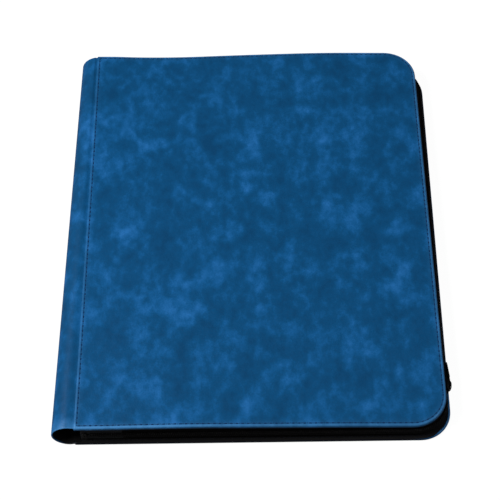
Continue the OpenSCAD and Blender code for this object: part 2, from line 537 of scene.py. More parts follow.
@dataclass(frozen=True)
class PaleFloor(Finish):
    """Plain pale paper that partly glows."""

    grey: Colour = (0.12, 0.12, 0.12)
    paler: Colour = (0.13, 0.13, 0.13)
    glow: float = 0.95

    def nodes(self, sheet: NodeSheet) -> Any:
        """Builds a nearly even tone.

        Args:
            sheet: the fresh node tree.

        Returns:
            The material.
        """
        tone = sheet.ramp(sheet.noise(8, 2), [(0.0, self.grey), (1.0, self.paler)])
        return sheet.dress(tone, 0.95, Specular_IOR_Level=0.05, Emission_Color=(1, 1, 1),
                           Emission_Strength=self.glow)


@dataclass(frozen=True)
class Finishes:
    """Every finish that the binder and its floor use."""

    leather: Finish = Leatherette("Mottled leatherette")
    board: Finish = Greyboard("Grey board")
    lining: Finish = Cloth("Lining cloth", dark=(0.004, 0.004, 0.0045), light=(0.012, 0.012, 0.013))
    thread: Finish = Thread("Sewing thread")
    # Near-black painted shade for the needle holes, drawn with the thread's nodes.
    hole: Finish = Thread("Needle hole shade", dark=(0.0003, 0.002, 0.010), light=(0.0008, 0.004, 0.018))
    bobbin: Finish = Thread("Bobbin thread", dark=(0.002, 0.002, 0.003), light=(0.009, 0.010, 0.014))
    tape: Finish = Cloth("Woven zip tape", threads=1300, rough=0.8)
    tab: Finish = Cloth("Zip end tab", dark=(0.020, 0.022, 0.026), light=(0.060, 0.064, 0.072))
    coil: Finish = Nylon("Nylon coil")
    enamel: Finish = Enamel("Slider enamel")
    page: Finish = PageSheet("Page sheet")
    film: Finish = PocketFilm("Pocket film")
    floor: Finish = PaleFloor("Pale floor")


# ---------------------------------------------------------------- mesh making


def grid_quads(rows: int, cols: int, closed: bool = True) -> Array:
    """Gives the quads of a grid of points.

    Args:
        rows: number of rows.
        cols: number of points in a row.
        closed: whether the last point of a row joins the first.

    Returns:
        One row of four indices for each quad.
    """
    row, col = np.meshgrid(np.arange(rows - 1), np.arange(cols if closed else cols - 1),
                           indexing="ij")
    after = (col + 1) % cols
    corners = [row * cols + col, row * cols + after, (row + 1) * cols + after,
               (row + 1) * cols + col]
    return np.stack(corners, -1).reshape(-1, 4)


@dataclass
class Shape:
    """Points, in millimetres, and faces gathered for one piece."""

    points: list[Array] = field(default_factory=list)
    faces: list[list[int]] = field(default_factory=list)
    # Per-point edge tone: abrasion with painted highlight when positive, painted shade when negative.
    abrasion_and_light: list[Array] = field(default_factory=list)
    size: int = 0

    def patch(self, points: Array, quads: Array, caps: Sequence[Sequence[int]] = (),
              abrasion_and_light: Array | None = None) -> None:
        """Adds points with their faces.

        Args:
            points: any array whose last axis is x, y, z.
            quads: indices into the points.
            caps: further faces of any length.
            abrasion_and_light: per-point edge tone, positive for abrasion and painted highlight,
                negative for painted shade, or None.
        """
        flat = points.reshape(-1, 3)
        self.faces.extend((quads + self.size).tolist())
        self.faces.extend([[index + self.size for index in cap] for cap in caps])
        self.points.append(flat)
        self.abrasion_and_light.append(np.zeros(len(flat)) if abrasion_and_light is None else abrasion_and_light.reshape(-1))
        self.size += len(flat)

    def skin(self, loops: Array, capped: bool = True, abrasion_and_light: Array | None = None) -> None:
        """Adds closed loops of equal length, skinned in order.

        Args:
            loops: array of loops by points by 3.
            capped: whether the first and last loops are filled.
            abrasion_and_light: per-point edge tone, positive for abrasion and painted highlight,
                negative for painted shade, or None.
        """
        rows, cols = loops.shape[:2]
        ends = [list(range(cols)), list(range((rows - 1) * cols, rows * cols))]
        self.patch(loops, grid_quads(rows, cols), ends if capped else (), abrasion_and_light)

    def bundles(self, bundles: Array) -> None:
        """Adds many small capped tubes.

        Args:
            bundles: array of tubes by loops by points by 3.
        """
        count, rows, cols = bundles.shape[:3]
        first = np.arange(count)[:, None] * rows * cols
        quads = (grid_quads(rows, cols)[None] + first[:, :, None]).reshape(-1, 4)
        ring = np.arange(cols)[None]
        caps = np.concatenate([first + ring, first + ring + (rows - 1) * cols])
        self.patch(bundles, quads, caps.tolist())

    def build(self, name: str, finish: Finish, sharp: float = 38.0) -> Any:
        """Makes the mesh object.

        Args:
            name: the piece's name.
            finish: its finish.
            sharp: edges that turn by more degrees than this stay crisp.

        Returns:
            The object.
        """
        mesh = bpy.data.meshes.new(name)
        mesh.from_pydata((np.concatenate(self.points) * MM).tolist(), [], self.faces)
        work = bmesh.new()
        work.from_mesh(mesh)
        bmesh.ops.recalc_face_normals(work, faces=work.faces)
        work.to_mesh(mesh)
        work.free()
        mesh.polygons.foreach_set("use_smooth", [True] * len(mesh.polygons))
        mesh.set_sharp_from_angle(angle=math.radians(sharp))
        # Stores the edge tone, painted highlight and painted shade included, for the leatherette's
        # nodes.
        abraded_and_lit = np.concatenate(self.abrasion_and_light).astype(np.float32)
        if abraded_and_lit.any():
            mesh.attributes.new("edge_abrasion_and_light", "FLOAT", "POINT").data.foreach_set("value", abraded_and_lit)
        mesh.materials.append(finish.material())
        piece = bpy.data.objects.new(name, mesh)
        bpy.context.scene.collection.objects.link(piece)
        return piece


def hand_over(piece: Any, body: str, slot: str, *nodes: str) -> Any:
    """Puts a piece on its body and hides the nodes that it stands for.

    Args:
        piece: the object.
        body: the body that it rides on.
        slot: not used.
        *nodes: CAD nodes that it replaces.

    Returns:
        The same object.
    """
    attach(piece, body)
    if nodes:
        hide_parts(*nodes)
    LOG.info("%s rides on %s (%d points)", piece.name, body, len(piece.data.vertices))
    return piece


def unit(vectors: Array) -> Array:
    """Gives vectors a length of one."""
    return vectors / np.linalg.norm(vectors, axis=-1, keepdims=True)


def tube(path: Array, across: Array, radius: float, sides: int) -> Array:
    """Sweeps a circle along a path.

    Args:
        path: points along it.
        across: unit vectors roughly at right angles to it.
        radius: radius of the circle.
        sides: points round it.

    Returns:
        Array of rings by sides by 3.
    """
    tangent = unit(np.gradient(path, axis=0))
    other = unit(np.cross(tangent, across))
    first = np.cross(other, tangent)
    angle = np.linspace(0, 2 * np.pi, sides, endpoint=False)[None, :, None]
    return path[:, None] + radius * (np.cos(angle) * first[:, None]
                                     + np.sin(angle) * other[:, None])


def rounded(half_a: float, half_b: float, corner: float, steps: int = 6) -> Array:
    """Outline of a rounded rectangle about the origin.

    Args:
        half_a: half its width.
        half_b: half its height.
        corner: radius of its corners.
        steps: segments in each corner.

    Returns:
        Its points, counterclockwise.
    """
    turn = np.radians(np.linspace(0, 90, steps + 1))
    parts = []
    for quarter, (sa, sb) in enumerate(((1, 1), (-1, 1), (-1, -1), (1, -1))):
        angle = turn + quarter * np.pi / 2
        centre = (sa * (half_a - corner), sb * (half_b - corner))
        parts.append(np.stack([centre[0] + corner * np.cos(angle),
                               centre[1] + corner * np.sin(angle)], -1))
    return np.concatenate(parts)


def pulled_in(outline: Array, inset: float) -> Array:
    """Moves a counterclockwise outline inwards along its normals.

    Args:
        outline: its points.
        inset: how far it moves.

    Returns:
        The moved points.
    """
    way = unit(np.roll(outline, -1, 0) - np.roll(outline, 1, 0))
    return outline + inset * np.stack([-way[:, 1], way[:, 0]], -1)


def raised(plan: Array, height: float) -> Array:
    """Gives the points of a flat outline a height."""
    return np.column_stack([plan, np.full(len(plan), height)])


def slab(outline: Array, low: float, high: float, edge: float, dish: float = 0.0) -> Array:
    """Stacks loops into a plate with rounded edges.

    Args:
        outline: counterclockwise points of its plan.
        low: height of its lower face.
        high: height of its upper face.
        edge: how far its edges are rounded.
        dish: how far the upper face sinks inside its rim.

    Returns:
        Array of loops by points by 3, with the height last.
    """
    steps = [(edge, low), (edge * 0.3, low + edge * 0.3), (0, low + edge), (0, high - edge),
             (edge * 0.3, high - edge * 0.3), (edge, high)]
    if dish:
        steps += [(edge + 0.5, high), (edge + 0.75, high - dish)]
    return np.stack([raised(pulled_in(outline, inset), height) for inset, height in steps])


# ---------------------------------------------------------------- where things lie


@dataclass(frozen=True)
class Layout:
    """Places that the frame gives, and the covers' own measures, in millimetres and degrees."""

    spine_x: float
    fore_x: float
    half: float
    seam_x: float
    page_x: float
    zip_low: float
    zip_high: float
    zip_start: float
    height: float = 25.5
    front_width: float = 260.0
    board_in: float = 5.0
    weld_in: float = 1.5
    cover: float = 3.2
    skew: float = 0.62
    tilt: float = 1.322

    @classmethod
    def read(cls) -> "Layout":
        """Reads the places from the nodes' boxes.

        Returns:
            The layout.
        """
        _, cover_high = (np.array(c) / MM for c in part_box("back_cover_skin"))
        spine_low, _ = (np.array(c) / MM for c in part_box("spine_skin"))
        board_low, _ = (np.array(c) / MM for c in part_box("back_cover_board"))
        page_low, _ = (np.array(c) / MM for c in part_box("page_01"))
        low, _ = (np.array(c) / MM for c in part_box("back_zip_coil"))
        _, high = (np.array(c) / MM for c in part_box("front_zip_coil"))
        tape_low, _ = (np.array(c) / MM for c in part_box("back_zip_tape"))
        return cls(
            spine_x=float(round(spine_low[0])), fore_x=float(cover_high[0]),
            half=float(cover_high[1]), seam_x=float(board_low[0]) - cls.board_in,
            page_x=float(page_low[0]) - cls.weld_in, zip_low=float(low[2]),
            zip_high=float(high[2]), zip_start=float(tape_low[0]))

    @property
    def zip_z(self) -> float:
        """Height of the middle between the two rows of the zip."""
        return (self.zip_low + self.zip_high) / 2

    @property
    def radius(self) -> float:
        """Radius of the spine's outer face."""
        return self.height / 2

    @property
    def spine_cx(self) -> float:
        """Where the spine's arc has its centre."""
        return self.spine_x + self.radius


def cover_wave(u: Array, v: Array) -> Array:
    """Gives how far the front cover's board has warped upwards at a place.

    Args:
        u: distance from the seam.
        v: distance from the cover's middle, towards its far edge.

    Returns:
        The warp in millimetres, which grows towards both edges and fades out at the seam.
    """
    rise = np.zeros(np.broadcast(u, v).shape)
    for sign, centre, width, height in WARPS:
        edge = np.clip((sign * v - WARP_START) / WARP_GROWS, 0, None) ** 2
        hump = np.exp(-(((u - centre) / width) ** 2)) * smoothstep(u, 0.0, WARP_FADES)
        rise = rise + edge * height * hump
    return rise


@dataclass(frozen=True)
class Place:
    """Turns a cover's own u, v and height into the frame's x, y and z."""

    layout: Layout
    side: Side

    def __call__(self, points: Array) -> Array:
        """Places points, whose height is 0 on the cover's outer face and negative inside.

        Args:
            points: array whose last axis is u, v, height.

        Returns:
            The points in the frame.
        """
        u, v, h = points[..., 0], points[..., 1], points[..., 2]
        lay = self.layout
        if self.side is Side.BACK:
            return np.stack([lay.seam_x + u, v, np.maximum(-h, 0)], -1)
        h = h + cover_wave(u, v)
        turn, lean = math.radians(lay.skew), math.radians(lay.tilt)
        x, y = u * math.cos(turn) - v * math.sin(turn), u * math.sin(turn) + v * math.cos(turn)
        return np.stack([lay.seam_x + x * math.cos(lean) + h * math.sin(lean), y,
                         lay.height - x * math.sin(lean) + h * math.cos(lean)], -1)


@dataclass(frozen=True)
class PanelOutline:
    """A cover's outline, with two large corners at the fore-edge."""

    width: float
    half: float
    start: float = 0.0
    corner: float = 24.5
    far_corner: float = 24.5
    seam_corner: float = 1.2
    least: float = 0.4
    along_u: int = 52
    along_v: int = 68
    around: int = 12

    def loop(self, inset: float) -> Array:
        """Gives the closed outline, always with the same number of points.

        Args:
            inset: its distance from the cover's edges.

        Returns:
            Its points in u and v.
        """
        near, fore, far = (max(reach, inset + self.least)
                           for reach in (self.seam_corner, self.corner, self.far_corner))
        corners = [(self.start + near, near - self.half, near, 180),
                   (self.width - fore, fore - self.half, fore, 270),
                   (self.width - far, self.half - far, far, 0),
                   (self.start + near, self.half - near, near, 90)]
        arcs = []
        for cu, cv, reach, begin in corners:
            angle = np.radians(np.linspace(begin, begin + 90, self.around + 1))
            arcs.append(np.stack([cu + (reach - inset) * np.cos(angle),
                                  cv + (reach - inset) * np.sin(angle)], -1))
        parts = []
        for index, arc in enumerate(arcs):
            count = (self.along_u, self.along_v)[index % 2]
            share = np.linspace(0, 1, count + 1)[1:-1, None]
            parts += [arc, arc[-1] * (1 - share) + arcs[(index + 1) % 4][0] * share]
        return np.concatenate(parts)

    def band(self, inset: float, start: float, near: float = 24.5, far: float = 24.5) -> Array:
        """Gives the open line along the three outer edges, from start and back to start.

        Args:
            inset: its distance from those edges.
            start: distance of its ends from the seam.
            near: radius that the edges would have round the near corner.
            far: radius that they would have round the far corner.

        Returns:
            Its points in u and v.
        """
        turn = np.radians(np.linspace(0, 90, 2 * self.around + 1))
        rise = np.linspace(near - self.half, self.half - far, 2 * self.along_v)[1:-1]
        edge = self.half - inset
        sides, arcs = [], []
        for corner, sign in ((near, -1), (far, 1)):
            bow = np.sin(turn) if sign < 0 else np.cos(turn)
            lift = np.cos(turn) if sign < 0 else np.sin(turn)
            side = np.linspace(start, self.width - corner, 2 * self.along_u)[:-1]
            sides.append(np.stack([side, np.full_like(side, sign * edge)], -1))
            arcs.append(np.stack([self.width - corner + (corner - inset) * bow,
                                  sign * (self.half - corner + (corner - inset) * lift)], -1))
        upright = np.stack([np.full_like(rise, self.width - inset), rise], -1)
        return np.concatenate([sides[0], arcs[0], upright, arcs[1], sides[1][::-1]])

    @property
    def deepest(self) -> float:
        """The largest inset at which the outline still exists."""
        return (self.width - self.start) / 2 - self.least - 0.1


def run_of(line: Array) -> Array:
    """Gives each point's distance from the start of a line, measured along it."""
    return np.concatenate([[0], np.cumsum(np.linalg.norm(np.diff(line, axis=0), axis=1))])


def along(line: Array, places: Array, look: float = 0.3) -> tuple[Array, Array]:
    """Walks a line.

    Args:
        line: its points.
        places: distances from its start.
        look: how far ahead and behind the direction is taken from.

    Returns:
        The points there, and the unit directions of the line there.
    """
    run = run_of(line)
    spots, ahead, behind = (
        np.stack([np.interp(places + shift, run, column) for column in line.T], -1)
        for shift in (0.0, look, -look))
    return spots, unit(ahead - behind)


# ---------------------------------------------------------------- the binder


@dataclass
class Cover:
    """A cover: its leatherette, board, lining and stitching."""

    layout: Layout
    finishes: Finishes
    side: Side
    width: float
    skin: float = 0.9
    liner: float = 0.5
    stitch_in: float = 2.45
    pitch: float = 3.9
    stitch: float = 2.5
    thread: float = 0.42
    hole: tuple[float, float] = (0.52, 0.46)
    back_corners: tuple[float, float] = (22.0, 28.0)
    front_corners: tuple[float, float] = (24.5, 24.5)
    turned: tuple[tuple[float, float], ...] = (
        (3.0, -0.9), (1.3, -1.0), (1.2, -1.4), (1.2, -2.5), (1.35, -2.68))
    # Each rolled step: inset, height and a paler edge tone that stands for abrasion and for a painted
    # highlight where the roll faces the light.
    rolled: tuple[tuple[float, float, float], ...] = (
        (1.3, -3.16, 0.0), (0.55, -3.12, 0.0), (0.15, -2.95, 0.0), (0.0, -2.6, 0.0),
        (0.0, -1.7, 0.1), (0.06, -1.15, 0.4), (0.28, -0.66, 0.8), (0.65, -0.27, 1.0),
        (1.1, -0.06, 1.0), (1.55, 0.0, 0.9), (1.9, -0.02, 0.6), (2.2, -0.10, 0.3),
        (2.7, -0.10, 0.2), (3.05, -0.02, 0.2), (3.5, 0.0, 0.1))

    def __post_init__(self) -> None:
        """Sets up the cover's outline and place."""
        self.place = Place(self.layout, self.side)
        corner, far = self.back_corners if self.side is Side.BACK else self.front_corners
        self.outline = PanelOutline(self.width, self.layout.half, corner=corner, far_corner=far)
        self.prefix = self.side.value

    def _fill(self, outline: PanelOutline, first: float) -> list[float]:
        """Gives the insets that fill an outline from first to its middle line."""
        share = np.linspace(0, 1, 19)[1:] ** 1.35
        return list(first + (outline.deepest - first) * share)

    def _loops(self, outline: PanelOutline, steps: Sequence[tuple[float, float]]) -> Array:
        """Places a stack of loops.

        Args:
            outline: the outline that they follow.
            steps: an inset and a height for each.

        Returns:
            Array of loops by points by 3.
        """
        return np.stack([self.place(raised(outline.loop(inset), height))
                         for inset, height in steps])

    def leather(self) -> Any:
        """Makes the leatherette, rolled round the board's edges.

        Returns:
            The object.
        """
        steps = [(inset, -self.skin) for inset in self._fill(self.outline, self.turned[0][0])[::-1]]
        steps += self.turned
        abrasion_and_light = [0.0] * len(steps)
        steps += [(inset, height) for inset, height, _ in self.rolled]
        abrasion_and_light += [abraded_and_lit for _, _, abraded_and_lit in self.rolled]
        outer = self._fill(self.outline, self.rolled[-1][0])
        steps += [(inset, 0.0) for inset in outer]
        abrasion_and_light += [0.0] * len(outer)
        loops = self._loops(self.outline, steps)
        # Per-point edge tone from the rolled profile, then painted highlight and painted shade laid
        # on per cover.
        rubbed = np.repeat(abrasion_and_light, loops.shape[1]).reshape(loops.shape[:2])
        low, left = self._reach(loops)
        # Front cover: the paler tone (abrasion and painted highlight) is weakened at the seam and
        # boosted along the left part of the near edge, where a highlight is painted.
        if self.side is Side.FRONT:
            rubbed = rubbed * (0.35 + 0.65 * smoothstep(left, 0.0, 6.0)
                               + 1.3 * smoothstep(low, -5.0, -1.5)
                               * (1 - smoothstep(left, 20.0, 150.0)))
        else:
            # Back cover: a painted highlight on the rim near the fore-edge corner, and painted shade
            # along the rest of the rim's near side.
            rim = np.clip(loops[..., 2] * 4 - 0.6, 0, 1)
            fore = smoothstep(left, self.width - 30.0, self.width - 10.0)
            rubbed = rubbed * 0.4 + rim * (1.3 * self._near_fore(loops)
                                           - smoothstep(low, -9.0, -2.0) * (1 - fore))
        shape = Shape()
        shape.skin(loops, abrasion_and_light=rubbed)
        return shape.build(f"{self.prefix}_leather", self.finishes.leather, 70)

    def _reach(self, loops: Array) -> tuple[Array, Array]:
        """Gives how far points lie past the lower edge, and how far from the seam."""
        return -loops[..., 1] - self.layout.half, loops[..., 0] - self.layout.seam_x

    def _near_fore(self, loops: Array) -> Array:
        """Gives 1 at the corner between the lower edge and the fore-edge, fading to 0."""
        low, left = self._reach(loops)
        return smoothstep(left, self.width - 14, self.width - 5) * smoothstep(low, -40.0, -30.0)

    def layer(self, name: str, finish: Finish, start: float, inset: float, low: float,
              high: float) -> Any:
        """Makes a flat layer with softly rounded edges inside the leatherette.

        Args:
            name: the piece's name.
            finish: its finish.
            start: its distance from the seam.
            inset: its distance from the other edges.
            low: height of its inner face.
            high: height of its outer face.

        Returns:
            The object.
        """
        outline = replace(self.outline, start=start - inset)
        fill = self._fill(outline, inset + 1.0)
        steps = [(i, low) for i in fill[::-1]]
        steps += [(inset + 0.25, low), (inset + 0.06, low + 0.08), (inset, low + 0.2),
                  (inset, high - 0.1), (inset + 0.1, high)]
        steps += [(i, high) for i in fill]
        loops = self._loops(outline, steps)
        if self.side is Side.BACK:
            shy = self._near_fore(loops)
            loops[..., 0] -= 1.3 * shy
            loops[..., 1] += 0.8 * shy
        shape = Shape()
        shape.skin(loops)
        return shape.build(name, finish)

    def _seam(self) -> tuple[Array, int, float]:
        """Gives the stitch line.

        Returns:
            Its closed line of points, its number of stitches and their exact pitch.
        """
        plan = self.outline.loop(self.stitch_in)
        plan = np.concatenate([plan, plan[:1]])
        total = float(run_of(plan)[-1])
        count = round(total / self.pitch)
        return plan, count, total / count

    def stitches(self, base: float, sign: int, name: str, finish: Finish) -> Any:
        """Makes the line of stitches on one face.

        Args:
            base: height of their middle.
            sign: 1 on the outer face, -1 on the inner one.
            name: the piece's name.
            finish: its finish.

        Returns:
            The object.
        """
        plan, count, pitch = self._seam()
        rings = np.linspace(-1, 1, 9)
        middle = (np.arange(count) + 0.5) * pitch
        spots, way = along(plan, (middle[:, None] + rings * self.stitch / 2).ravel())
        spots, way = (part.reshape(count, len(rings), 2) for part in (spots, way))
        normal = np.stack([-way[..., 1], way[..., 0]], -1)
        angle = np.linspace(0, 2 * np.pi, 7)[:-1]
        girth = self.thread * np.sqrt(np.clip(1 - 0.9 * np.abs(rings) ** 5, 0, 1))
        height = base - sign * 0.3 * np.abs(rings) ** 4
        flat = (spots[:, :, None] + normal[:, :, None] * girth[None, :, None, None]
                * np.cos(angle)[None, None, :, None])
        tall = height[None, :, None] + girth[None, :, None] * np.sin(angle)[None, None] * 0.75
        tall = np.broadcast_to(tall, flat.shape[:3])
        if self.side is Side.BACK and sign > 0:
            tall = np.minimum(tall, -0.02)
        shape = Shape()
        shape.bundles(self.place(np.concatenate([flat, tall[..., None]], -1)))
        return shape.build(f"{self.prefix}_{name}", finish, 80)

    def holes(self) -> Any:
        """Makes dark discs of painted shade in the needle holes between the stitches, on both faces.

        Returns:
            The object.
        """
        plan, count, pitch = self._seam()
        spots, way = along(plan, np.arange(count) * pitch)
        normal = np.stack([-way[:, 1], way[:, 0]], -1)
        angle = np.linspace(0, 2 * np.pi, 11)[:-1, None]
        shape = Shape()
        for base, sign in ((-0.09, 1), (-self.layout.cover, -1)):
            rings = []
            for size, lift in ((0.9, -0.12), (1.0, 0.03), (0.7, 0.01), (0.35, -0.05)):
                flat = (spots[:, None] + size * (self.hole[0] * np.cos(angle) * way[:, None]
                                                 + self.hole[1] * np.sin(angle) * normal[:, None]))
                height = np.full((*flat.shape[:2], 1), base + sign * lift)
                if self.side is Side.BACK and sign > 0:
                    height = np.minimum(height, -0.02 - 0.1 * (size < 0.8))
                rings.append(self.place(np.concatenate([flat, height], -1)))
            shape.bundles(np.stack(rings, 1))
        return shape.build(f"{self.prefix}_needle_holes", self.finishes.hole, 80)

    def make(self) -> None:
        """Builds the cover's pieces."""
        body, inner = self.side.value, -self.layout.cover
        hand_over(self.leather(), body, "blue_leatherette", f"{self.prefix}_skin")
        board = self.layer(f"{self.prefix}_greyboard", self.finishes.board, self.layout.board_in,
                           1.25, inner + self.liner + 0.02, -self.skin - 0.02)
        hand_over(board, body, "grey_board", f"{self.prefix}_board")
        lining = self.layer(f"{self.prefix}_lining_cloth", self.finishes.lining, 1.0, 0.3,
                            inner, inner + self.liner)
        hand_over(lining, body, "black_lining", f"{self.prefix}_lining")
        outer = self.stitches(-0.06, 1, "stitches", self.finishes.thread)
        hand_over(outer, body, "stitching_thread", f"{self.prefix}_stitching")
        bobbin = self.stitches(inner + 0.02, -1, "bobbin_stitches", self.finishes.bobbin)
        hand_over(bobbin, body, "stitching_thread")
        hand_over(self.holes(), body, "stitching_thread")


@dataclass
class Spine:
    """The soft spine: leatherette and lining bent between the covers, and the page binding."""

    layout: Layout
    finishes: Finishes
    leather_t: float = 1.15
    lining_t: float = 0.35
    groove: float = 0.55
    pages: int = 20
    page_gap: float = 0.85
    block_half: float = 8.4
    slant: float = 1.3
    leather_ends: tuple[float, float] = (0.8, 1.1)
    lining_ends: tuple[float, float] = (1.5, 1.8)

    def _profile(self, drop: float, laps: bool) -> tuple[Array, Array]:
        """Gives the outer curve of the spine's lower half, from the seam to its middle.

        Args:
            drop: how far below the outer face the curve lies.
            laps: whether it climbs over the cover's seam edge instead of diving under it.

        Returns:
            Points in x and z, and for each the share by which it follows the seam's slant.
        """
        lay = self.layout
        angle = np.radians(np.linspace(-99, -180, 44))
        reach = lay.radius - drop
        arc = np.stack([lay.spine_cx + reach * np.cos(angle), lay.radius + reach * np.sin(angle)],
                       -1)
        lead_x = np.array([1.2, 0.3, -0.35, -0.9, -1.5, -2.2, -3.0])
        lead_z = self.groove * np.array([1, 1, 1, 0.86, 0.55, 0.25, 0.08]) + drop
        if laps:
            over = lay.cover + 0.03 + drop - self.leather_t
            lead_x = np.array([4.4, 3.0, 1.5, 0.3, -0.25, -0.6, -1.3, -2.1, -3.0])
            lead_z = np.array([over] * 4 + [over - 0.2, over - 0.7, drop + 0.95, drop + 0.45,
                                            drop + 0.12])
        lead = np.stack([lay.seam_x + lead_x, lead_z], -1)
        curve = np.concatenate([lead, arc])
        share = np.clip((curve[:, 0] - (lay.spine_cx - 2)) / 3.5, 0, 1)
        return curve, share

    def _half(self, side: Side, drop: float, thick: float, insets: tuple[float, float],
              name: str, finish: Finish) -> Any:
        """Makes one half of a sheet that wraps the spine.

        Args:
            side: the cover that it runs to.
            drop: how far its outer face lies inside the spine's.
            thick: its thickness.
            insets: its distances from the spine's near and far ends.
            name: the piece's name.
            finish: its finish.

        Returns:
            The object.
        """
        lay = self.layout
        laps = finish is self.finishes.lining
        outer, share = self._profile(drop, laps)
        inner, _ = self._profile(drop + thick, laps)
        near, far = insets[0] - lay.half, lay.half - insets[1]
        bulge = min(0.75, thick * 0.6)
        straight = np.linspace(near + bulge, far - bulge, 41)
        turn = np.linspace(-np.pi / 2, np.pi / 2, 9)[1:-1]
        y = np.concatenate([straight, far - bulge + bulge * np.cos(turn), straight[::-1],
                            near + bulge - bulge * np.cos(turn)])
        depth = np.concatenate([np.zeros_like(straight), 0.5 + 0.5 * np.sin(turn),
                                np.ones_like(straight), 0.5 - 0.5 * np.sin(turn)])
        x = outer[:, None, 0] * (1 - depth) + inner[:, None, 0] * depth
        z = outer[:, None, 1] * (1 - depth) + inner[:, None, 1] * depth
        # Paler edge tone on the rolled ends, stronger on the front half and at the near end: abrasion
        # plus a painted highlight where the rim faces the light.
        rolled = 1.0 if side is Side.FRONT else 0.3
        abraded_and_lit = np.broadcast_to(np.where((depth > 0) & (depth < 0.8), rolled, 0.0)
                               + np.where(y < near + 1.5, 0.9 * rolled, 0.0), x.shape)
        if side is Side.BACK:
            # Painted shade: the back half's lower side is darkened at the near end.
            under = smoothstep(x, lay.spine_x + 2.0, lay.spine_x + 9.0)
            abraded_and_lit = abraded_and_lit * (1 - under) - under * (y < near + 2.5)
        y = y - self.slant * np.clip((lay.seam_x - x) / 15, 0, 1) * smoothstep(y, 100.0, lay.half)
        if side is Side.FRONT:
            u = np.maximum(x - lay.seam_x, 0)
            z = lay.height - z - u * math.tan(math.radians(lay.tilt)) + cover_wave(u, y)
            x = x - share[:, None] * y * math.sin(math.radians(lay.skew))
        shape = Shape()
        shape.skin(np.stack([x, y, z], -1), capped=False, abrasion_and_light=abraded_and_lit)
        piece = shape.build(name, finish, 70)
        if side is Side.BACK:
            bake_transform(piece)
        else:
            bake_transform(piece)
        LOG.info("%s bends between the spine and %s", name, side.value)
        return piece

    def binding(self) -> Any:
        """Makes the block that holds the pages, with one groove for each.

        Returns:
            The object.
        """
        lay = self.layout
        face, middle = lay.page_x - 0.3, lay.radius
        front: list[tuple[float, float]] = []
        for index in range(self.pages):
            z = middle + (index - (self.pages - 1) / 2) * self.page_gap
            front += [(face, z - 0.26), (face - 0.5, z - 0.17), (face - 0.5, z + 0.17),
                      (face, z + 0.26)]
        top, reach = self.block_half, lay.radius - 1.75
        rise = np.radians(np.linspace(140, 220, 15))
        arc = [(lay.spine_cx + reach * math.cos(a), middle + reach * math.sin(a)) for a in rise]
        flat = np.array([
            (face, middle - top + 0.2), *front, (face, middle + top - 0.2),
            (face - 0.2, middle + top), (face - 1.0, middle + top), (face - 1.2, middle + top - 0.3),
            *arc, (face - 1.2, middle - top + 0.3), (face - 1.0, middle - top),
            (face - 0.2, middle - top)])
        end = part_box("page_binding")[1][1] / MM
        loops, centre = [], np.array([face - 2.5, middle])
        for y, squeeze in ((-end, 0.985), (0.4 - end, 1), (end - 0.4, 1), (end, 0.985)):
            at = centre + (flat - centre) * squeeze
            loops.append(np.column_stack([at[:, 0], np.full(len(at), y), at[:, 1]]))
        shape = Shape()
        shape.skin(np.stack(loops))
        return shape.build("page_binding_block", self.finishes.lining)

    def make(self) -> None:
        """Builds the spine's pieces."""
        for side in Side:
            word = side.name.lower()
            wrap = self._half(side, 0.0, self.leather_t, self.leather_ends,
                              f"spine_wrap_{word}", self.finishes.leather)
            inner = self._half(side, self.leather_t + 0.03, self.lining_t, self.lining_ends,
                               f"spine_cloth_{word}", self.finishes.lining)
            if side is Side.BACK:
                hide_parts("spine_skin")
                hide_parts("spine_lining")
        hand_over(self.binding(), "spine", "black_lining", "page_binding")


